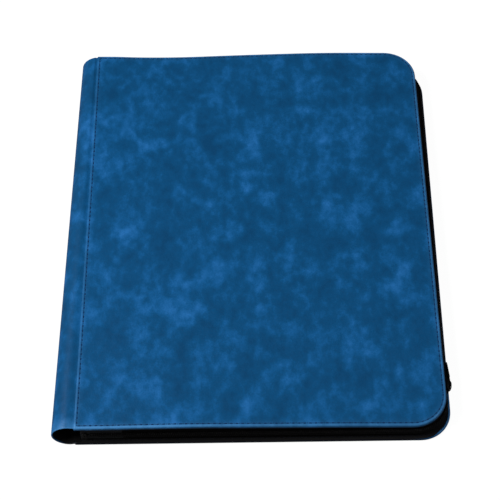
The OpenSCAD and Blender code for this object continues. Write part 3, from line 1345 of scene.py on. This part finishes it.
@dataclass
class Zip:
    """The zip's tapes, coils, clamps and end tabs on both covers."""

    layout: Layout
    finishes: Finishes
    back_width: float
    front_width: float
    tape: float = 0.8
    coil_in: float = 2.9
    coil_half: float = 1.05
    pitch: float = 1.5
    wire: float = 0.31
    row: float = 3.05
    overlap: float = 0.45
    tab_length: float = 30.0
    bends: tuple[float, float] = (26.0, 34.0)
    back_in: float = 4.4
    front_in: float = 3.5
    back_rows: tuple[float, ...] = (4.6, 6.0, 7.5)
    back_top: float = 9.25
    front_foot: float = 10.35
    front_knee: float = 12.4

    def __post_init__(self) -> None:
        """Sets up the outlines that the zip follows."""
        self.back = PanelOutline(self.back_width, self.layout.half)
        self.front = PanelOutline(self.front_width, self.layout.half)
        self.start = self.layout.zip_start - self.layout.seam_x

    def _wall(self, side: Side, outward: float, start: float, lift: float = 0.0) -> Array:
        """Gives the lines of one face of a tape, from its low edge to its high one.

        Args:
            side: the cover that the tape is sewn to.
            outward: how far the face stands out from the tape's middle.
            start: distance of its ends from the seam.
            lift: how far both long edges are pulled in.

        Returns:
            Array of lines by points by 3.
        """
        lay = self.layout
        low = self.back.band(self.back_in - outward, start, *self.bends)
        place_back, place_front = Place(lay, Side.BACK), Place(lay, Side.FRONT)
        if side is Side.BACK:
            heights = (lay.cover + lift, *self.back_rows, self.back_top - lift)
            return np.stack([place_back(raised(low, -height)) for height in heights])
        high = self.front.band(self.front_in - outward, start)
        top = place_front(raised(high, -lay.cover - 0.03 - lift))
        foot = place_back(raised(low, -self.front_foot - lift))
        knee = place_back(raised(low, -self.front_knee))
        lines = [foot, knee]
        for share in (0.2, 0.4, 0.6, 0.8, 1.0):
            eased = share ** 0.85
            line = knee * (1 - eased) + top * eased
            line[:, 2] = knee[:, 2] * (1 - share) + top[:, 2] * share
            lines.append(line)
        return np.stack(lines)

    def tape_piece(self, side: Side) -> Any:
        """Makes one tape as a thin closed strip.

        Args:
            side: the cover that it is sewn to.

        Returns:
            The object.
        """
        outer = self._wall(side, self.tape / 2, self.start)
        inner = self._wall(side, -self.tape / 2, self.start)
        ring = np.concatenate([outer, inner[::-1]]).transpose(1, 0, 2)
        shape = Shape()
        shape.skin(ring)
        return shape.build(f"{side.name.lower()}_zip_fabric", self.finishes.tape, 50)

    def coil_piece(self, side: Side) -> Any:
        """Makes one row of coil as a long spiral wire.

        Args:
            side: the cover that it belongs to.

        Returns:
            The object.
        """
        line = self.back.band(self.coil_in, self.start + 4.5, *self.bends)
        turns = int(run_of(line)[-1] / self.pitch) - 1
        steps = 9
        theta = np.arange(turns * steps) * 2 * np.pi / steps
        begin = self.pitch * (0.5 if side is Side.FRONT else 0.0)
        spots, way = along(line, begin + theta / (2 * np.pi) * self.pitch + 0.6)
        outward = np.stack([way[:, 1], -way[:, 0]], -1)
        half = (self.row - 2 * self.wire) / 2
        reach = self.coil_half - self.wire
        sign = 1 if side is Side.FRONT else -1
        centre = self.layout.zip_z + sign * (self.row / 2 - self.overlap / 2)
        radial = np.column_stack([outward * np.cos(theta)[:, None], np.sin(theta)])
        path = np.column_stack([spots + outward * (reach * np.cos(theta))[:, None],
                                centre + half * np.sin(theta)])
        path[:, 0] += self.layout.seam_x
        shape = Shape()
        shape.skin(tube(path, radial, self.wire, 5))
        return shape.build(f"{side.name.lower()}_zip_spiral", self.finishes.coil, 80)

    def clamps(self, side: Side) -> Any:
        """Makes the clamps that close off both ends of a row.

        Args:
            side: the cover that they belong to.

        Returns:
            The object.
        """
        low, high = (np.array(c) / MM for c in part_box(f"{side.name.lower()}_zip_stops"))
        middle_x, half_x = (low[0] + high[0]) / 2, (high[0] - low[0]) / 2
        shape = Shape()
        for sign in (-1, 1):
            for shift in (-0.85, 0.85):
                plate = slab(rounded(0.8, 1.1, 0.35, 4), 0.05, high[2] - low[2] - 0.05, 0.25)
                centre = (middle_x + shift * half_x / 1.8, sign * (high[1] - 1.1), low[2])
                shape.skin(plate + np.array(centre))
        return shape.build(f"{side.name.lower()}_zip_clamps", self.finishes.coil)

    def tabs(self, side: Side) -> Any:
        """Makes the bound ends of a tape, near the spine.

        Args:
            side: the cover that the tape is sewn to.

        Returns:
            The object.
        """
        shape = Shape()
        start = self.start - 1.2
        outer = self._wall(side, self.tape / 2 + 0.35, start, 0.3)
        inner = self._wall(side, -self.tape / 2 - 0.3, start, 0.3)
        for flip in (1, -1):
            face, rear = outer[:, ::flip], inner[:, ::flip]
            keep = run_of(face[0]) <= self.tab_length
            ring = np.concatenate([face[:, keep], rear[::-1][:, keep]]).transpose(1, 0, 2)
            shape.skin(ring)
        return shape.build(f"{side.name.lower()}_zip_end_tabs", self.finishes.tab, 50)

    def make(self) -> None:
        """Builds both halves of the zip."""
        for side in Side:
            word = side.name.lower()
            hand_over(self.tape_piece(side), side.value, "zip_tape", f"{word}_zip_tape")
            hand_over(self.coil_piece(side), side.value, "zip_coil", f"{word}_zip_coil")
            hand_over(self.clamps(side), side.value, "zip_coil", f"{word}_zip_stops")
            hand_over(self.tabs(side), side.value, "zip_tape")


@dataclass
class Slider:
    """The zip's slider with its bridge and its pull."""

    layout: Layout
    finishes: Finishes
    plate: float = 0.7
    pin_out: float = 1.2
    pull_lean: float = 4.4
    pull_length: float = 19.0
    tab_start: float = 5.8
    arm_gap: float = 1.3
    arm_width: float = 1.1
    tab_half: float = 3.5

    def __post_init__(self) -> None:
        """Reads the slider's place from its box."""
        low, high = (np.array(c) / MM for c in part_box("slider_body"))
        self.y, self.z = (low[1] + high[1]) / 2, (low[2] + high[2]) / 2
        self.outer_x, self.inner_x = high[0], low[0]
        self.half_l, self.half_h = (high[1] - low[1]) / 2, (high[2] - low[2]) / 2
        self.pin_x = self.outer_x + self.pin_out

    def _stand(self, loops: Array, x: float, y: float = 0.0, z: float = 0.0) -> Array:
        """Stands a plate upright, its plan along Y and Z and its height along X."""
        return np.stack([loops[..., 2] + x, loops[..., 0] + self.y + y, loops[..., 1] + self.z + z],
                        -1)

    def body_piece(self) -> Any:
        """Makes the two plates, their flanges and the post between them.

        Returns:
            The object.
        """
        shape = Shape()
        outline = rounded(self.half_l, self.half_h, 2.2, 8)
        outline[:, 1] *= 1 - 0.12 * smoothstep(-outline[:, 0], 0, self.half_l)
        outer = slab(outline, 0, self.plate, 0.28)
        outer[..., 2] -= 0.12 * (outer[..., 0] / self.half_l) ** 2 * (outer[..., 2] > 0.4)
        shape.skin(self._stand(outer, self.outer_x - self.plate))
        small = rounded(self.half_l, 2.5, 1.0, 6)
        shape.skin(self._stand(slab(small, 0, self.plate, 0.25), self.inner_x))
        for sign in (-1, 1):
            rail = rounded(self.half_l - 1.9, 0.28, 0.2, 4)
            shape.skin(self._stand(slab(rail, -0.9, 0.25, 0.12), self.outer_x - self.plate,
                                   z=sign * (self.half_h - 0.75)))
        post = rounded(1.5, 0.3, 0.2, 4)
        shape.skin(self._stand(slab(post, 0, self.outer_x - self.inner_x - self.plate, 0.05),
                               self.inner_x + self.plate / 2))
        return shape.build("slider_casting", self.finishes.enamel)

    def bridge_piece(self) -> Any:
        """Makes the arch that holds the pull's pin, with two lugs that fill it.

        Returns:
            The object.
        """
        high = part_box("slider_bridge")[1][0] / MM
        foot, crown = self.outer_x - 0.15, high - 0.7
        low = crown - foot
        line = [(foot, -3.95), (foot + 0.45 * low, -3.3), (foot + 0.72 * low, -2.4),
                (foot + 0.90 * low, -1.2), (foot + 0.98 * low, 0.2), (crown, 1.4),
                (foot + 0.97 * low, 2.4), (foot + 0.84 * low, 3.2), (foot + 0.5 * low, 3.8),
                (foot, 4.0)]
        path = np.array([(x, self.y + y, self.z) for x, y in line])
        up = np.tile(np.array([0.0, 0.0, 1.0]), (len(path), 1))
        side = np.cross(up, unit(np.gradient(path, axis=0)))
        section = rounded(0.95, 0.34, 0.24, 4)
        rings = (path[:, None] + section[None, :, 0, None] * up[:, None]
                 + section[None, :, 1, None] * side[:, None])
        shape = Shape()
        shape.skin(rings)
        for sign in (-1, 1):
            lug = slab(rounded(1.1, 0.8, 0.5, 5), -0.1, low * 0.62, 0.2)
            shape.skin(self._stand(lug, self.outer_x, y=sign * 1.95))
        return shape.build("slider_arch", self.finishes.enamel)

    def pull_piece(self) -> Any:
        """Makes the pin, the two arms and the tab with its raised rim.

        Returns:
            The object.
        """
        shape = Shape()
        end, half = self.arm_gap + 0.2, self.tab_half
        angle = np.linspace(0, 2 * np.pi, 17)[:-1]
        rings = []
        for z, r in ((-end, 0.2), (-end + 0.1, 0.36), (-end + 0.25, 0.42), (end - 0.25, 0.42),
                     (end - 0.1, 0.36), (end, 0.2)):
            rings.append(np.column_stack([r * np.cos(angle), r * np.sin(angle),
                                          np.full_like(angle, z)]))
        shape.skin(np.stack(rings))
        for sign in (-1, 1):
            arm = slab(rounded((self.tab_start + 1.6) / 2, 0.5, 0.4, 6), -self.arm_width / 2,
                       self.arm_width / 2, 0.2)
            middle = sign * (self.arm_gap + self.arm_width / 2)
            shape.skin(np.stack([arm[..., 1], arm[..., 0] + (self.tab_start + 0.6) / 2,
                                 arm[..., 2] + middle], -1))
        length = self.pull_length - self.tab_start
        turn = np.radians(np.linspace(-90, 90, 25))
        tip = [(length - half + half * math.cos(a), half * math.sin(a)) for a in turn]
        root = [(0.4, half), (0.12, half - 0.12), (0, half - 0.4), (0, 0.4 - half),
                (0.12, 0.12 - half), (0.4, -half)]
        tab = slab(np.array(tip + root), -0.6, 0.6, 0.2, 0.18)
        thin = 1 - 0.45 * smoothstep(tab[..., 0], 0.3 * length, length)
        shape.skin(np.stack([tab[..., 2] * thin, tab[..., 0] + self.tab_start, tab[..., 1]], -1))
        lean = math.radians(self.pull_lean)
        for points in shape.points:
            x, y = points[:, 0].copy(), points[:, 1].copy()
            points[:, 0] = self.pin_x + x * math.cos(lean) - y * math.sin(lean)
            points[:, 1] = self.y + x * math.sin(lean) + y * math.cos(lean)
            points[:, 2] += self.z
        return shape.build("slider_tab", self.finishes.enamel)

    def make(self) -> None:
        """Builds the slider's three pieces."""
        hand_over(self.body_piece(), "zip_slider", "slider_enamel", "slider_body")
        hand_over(self.bridge_piece(), "zip_slider", "slider_enamel", "slider_bridge")
        hand_over(self.pull_piece(), "slider_pull", "slider_enamel", "slider_pull")


@dataclass
class Page:
    """One page: a black sheet welded to the binding, with clear pockets on both faces."""

    layout: Layout
    finishes: Finishes
    number: int
    total: int = 20
    core: float = 0.25
    film: float = 0.12
    width: float = 243.4
    length: float = 298.4
    margin: float = 20.0
    pocket: tuple[float, float] = (74.0, 99.0)
    weld: float = 1.4
    gap: float = 0.85
    lean: float = 0.0541
    corner: float = 5.0

    @property
    def word(self) -> str:
        """The page's node name."""
        return f"page_{self.number:02d}"

    @property
    def root_z(self) -> float:
        """Height at which the page is welded to the binding."""
        return self.layout.radius + (self.number - (self.total + 1) / 2) * self.gap

    def _place(self, points: Array) -> Array:
        """Places the page's own points, and lets it follow the cover's warp.

        Args:
            points: array whose last axis is x from the weld, y and height.

        Returns:
            The points in the frame.
        """
        x, y, h = points[..., 0], points[..., 1], points[..., 2]
        lean = math.radians((self.number - 1) * self.lean)
        u = x + self.layout.page_x - self.layout.seam_x
        share = (self.number - 1) / (self.total - 1)
        h = h + share * cover_wave(np.maximum(u, 0), y)
        return np.stack([self.layout.page_x + x * math.cos(lean) + h * math.sin(lean), y,
                         self.root_z - x * math.sin(lean) + h * math.cos(lean)], -1)

    def sheet_piece(self) -> Any:
        """Makes the black sheet, from its root at the binding to its fore-edge.

        Returns:
            The object.
        """
        far = self.width - self.corner
        x = np.concatenate([[-0.35, 0.1, 0.6, 1.1, 1.7, 2.3, 3.0, 4.0], np.linspace(9, far, 22),
                            far + self.corner * np.sin(np.radians([20, 40, 60, 75, 90]))])
        round_off = self.corner - np.sqrt(np.clip(self.corner ** 2 - np.clip(x - far, 0, None) ** 2,
                                                  0, None))
        half = self.length / 2 - round_off
        run = np.linspace(-1, 1, 25)
        t = self.core / 2
        y = np.concatenate([run[None] * (half[:, None] - 0.1), half[:, None],
                            run[::-1][None] * (half[:, None] - 0.1), -half[:, None]], 1)
        z = np.concatenate([np.full_like(run, t), [0], np.full_like(run, -t), [0]])
        rows = np.stack([np.broadcast_to(x[:, None], y.shape), y, np.broadcast_to(z, y.shape)], -1)
        shape = Shape()
        shape.skin(self._place(rows))
        return shape.build(f"{self.word}_sheet", self.finishes.page, 60)

    def film_piece(self) -> Any:
        """Makes the pockets of both faces as thin clear blisters with a lip at their mouths.

        Returns:
            The object.
        """
        shape = Shape()
        rise = np.array([0.0, 0.75, 1, 1, 1, 1, 1, 0.75, 0.0])
        size_x, size_y = self.pocket[0] - self.weld, self.pocket[1] - self.weld
        a = np.array([0, 0.25, 1.2, 18, 36.3, 54, size_x - 1.2, size_x - 0.25, size_x]) / size_x
        b = np.array([0, 0.25, 1.2, 25, 48.8, 73, size_y - 1.2, size_y - 0.25, size_y]) / size_y
        crown = np.minimum.outer(rise, rise) * (self.film - 0.01)
        bow = 0.03 * np.outer(np.sin(np.pi * a), np.sin(np.pi * b))
        for side in (-1, 1):
            for column in range(3):
                for row in range(3):
                    x0 = self.margin + self.weld / 2 + column * self.pocket[0]
                    y0 = (row - 1.5) * self.pocket[1] + self.weld / 2
                    px, py = np.meshgrid(x0 + a * size_x, y0 + b * size_y, indexing="ij")
                    h = side * (self.core / 2 + 0.005 + crown + bow)
                    points = self._place(np.stack([px, py, h], -1))
                    shape.patch(points, grid_quads(9, 9, closed=False))
                    lip_y = np.linspace(y0 + 1.5, y0 + size_y - 1.5, 9)
                    lip_x = np.array([1.3, 1.4, 2.4, 2.5]) + x0
                    lx, ly = np.meshgrid(lip_x, lip_y, indexing="ij")
                    lift = np.array([0.0, 0.02, 0.02, 0.0])[:, None] + np.zeros_like(ly)
                    lh = side * (self.core / 2 + self.film - 0.003 + lift)
                    shape.patch(self._place(np.stack([lx, ly, lh], -1)),
                                grid_quads(4, 9, closed=False))
        return shape.build(f"{self.word}_film", self.finishes.film, 80)

    def make(self) -> None:
        """Builds the page's two pieces."""
        leaf = f"page_leaf_{self.number:02d}"
        sheet = self.sheet_piece()
        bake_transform(sheet)
        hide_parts(self.word)
        hand_over(self.film_piece(), leaf, "pocket_film", f"{self.word}_pockets")


# ---------------------------------------------------------------- the studio


@dataclass(frozen=True)
class Lamp:
    """A soft rectangular light that looks at the binder."""

    name: str
    at: tuple[float, float, float]
    size: tuple[float, float]
    power: float
    colour: Colour = (1.0, 1.0, 1.0)

    def make(self) -> None:
        """Hangs the light."""
        data = bpy.data.lights.new(self.name, "AREA")
        data.shape, data.size, data.size_y = "RECTANGLE", *self.size
        data.energy, data.color = self.power, self.colour
        lamp = bpy.data.objects.new(self.name, data)
        lamp.location = self.at
        lamp.rotation_euler = (-Vector(self.at)).to_track_quat("-Z", "Y").to_euler()
        bpy.context.scene.collection.objects.link(lamp)


@dataclass
class Studio:
    """Pale floor, soft lights and the camera."""

    finishes: Finishes
    yaw: float = 0.0445
    rise: float = 55.9
    roll: float = -0.0533
    distance: float = 1.0889
    lens: float = 102.3
    target: tuple[float, float, float] = (-0.00168, -0.0072, 0.0)
    flat: float = 3200.0
    curl: float = 1800.0
    sides: int = 64
    sky: float = 0.12
    lamps: tuple[Lamp, ...] = (
        Lamp("Key", (-1.05, -0.20, 1.32), (0.8, 0.6), 24.0),
        Lamp("Side", (1.2, -0.1, 1.2), (0.9, 0.9), 5.0))

    def floor(self) -> None:
        """Lays a wide round floor that curls up far away."""
        turn = np.radians(np.linspace(6, 90, 15))
        reach = np.concatenate([np.linspace(2, self.flat, 8), self.flat + self.curl * np.sin(turn)])
        lift = np.concatenate([np.zeros(8), self.curl - self.curl * np.cos(turn)]) - 0.02
        angle = np.linspace(0, 2 * np.pi, self.sides + 1)[:-1]
        rows = np.stack([np.outer(reach, np.cos(angle)), np.outer(reach, np.sin(angle)),
                         np.repeat(lift[:, None], self.sides, 1)], -1)
        shape = Shape()
        shape.patch(rows, grid_quads(len(reach), self.sides), [list(range(self.sides))])
        sweep = shape.build("studio_floor", self.finishes.floor)
        sweep.visible_diffuse = sweep.visible_glossy = False

    def camera(self) -> None:
        """Sets up the camera."""
        rise = math.radians(self.rise)
        back = Vector((math.sin(self.yaw) * math.cos(rise), -math.cos(self.yaw) * math.cos(rise),
                       math.sin(rise)))
        right = Vector((math.cos(self.yaw), math.sin(self.yaw), 0))
        up = back.cross(right)
        turned = math.cos(self.roll) * right + math.sin(self.roll) * up
        upright = -math.sin(self.roll) * right + math.cos(self.roll) * up
        data = bpy.data.cameras.new("Camera")
        data.lens, data.sensor_width = self.lens, 36
        data.clip_start, data.clip_end = 0.01, 50
        camera = bpy.data.objects.new("Camera", data)
        turn = Matrix((turned, upright, back)).transposed().to_4x4()
        camera.matrix_world = Matrix.Translation(Vector(self.target) + back * self.distance) @ turn
        bpy.context.scene.collection.objects.link(camera)
        bpy.context.scene.camera = camera

    def light(self) -> None:
        """Hangs the lamps and sets an even white sky."""
        for lamp in self.lamps:
            lamp.make()
        scene = bpy.context.scene
        scene.world = scene.world or bpy.data.worlds.new("World")
        scene.world.use_nodes = True
        background = scene.world.node_tree.nodes["Background"]
        background.inputs["Color"].default_value = (1, 1, 1, 1)
        background.inputs["Strength"].default_value = self.sky
        scene.view_settings.view_transform = "Standard"

    def make(self) -> None:
        """Builds the whole studio."""
        self.floor()
        self.camera()
        self.light()
        LOG.info("studio ready")


def main() -> None:
    """Builds the binder and its studio in order."""
    logging.basicConfig(level=logging.INFO, format="%(name)s: %(message)s")
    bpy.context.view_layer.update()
    layout, finishes = Layout.read(), Finishes()
    Studio(finishes).make()
    widths = {Side.BACK: layout.fore_x - layout.seam_x, Side.FRONT: layout.front_width}
    for side in Side:
        Cover(layout, finishes, side, widths[side]).make()
    Spine(layout, finishes).make()
    Zip(layout, finishes, widths[Side.BACK], widths[Side.FRONT]).make()
    Slider(layout, finishes).make()
    for number in range(1, Page.total + 1):
        Page(layout, finishes, number).make()
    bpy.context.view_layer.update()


if __name__ == "__main__":
    main()
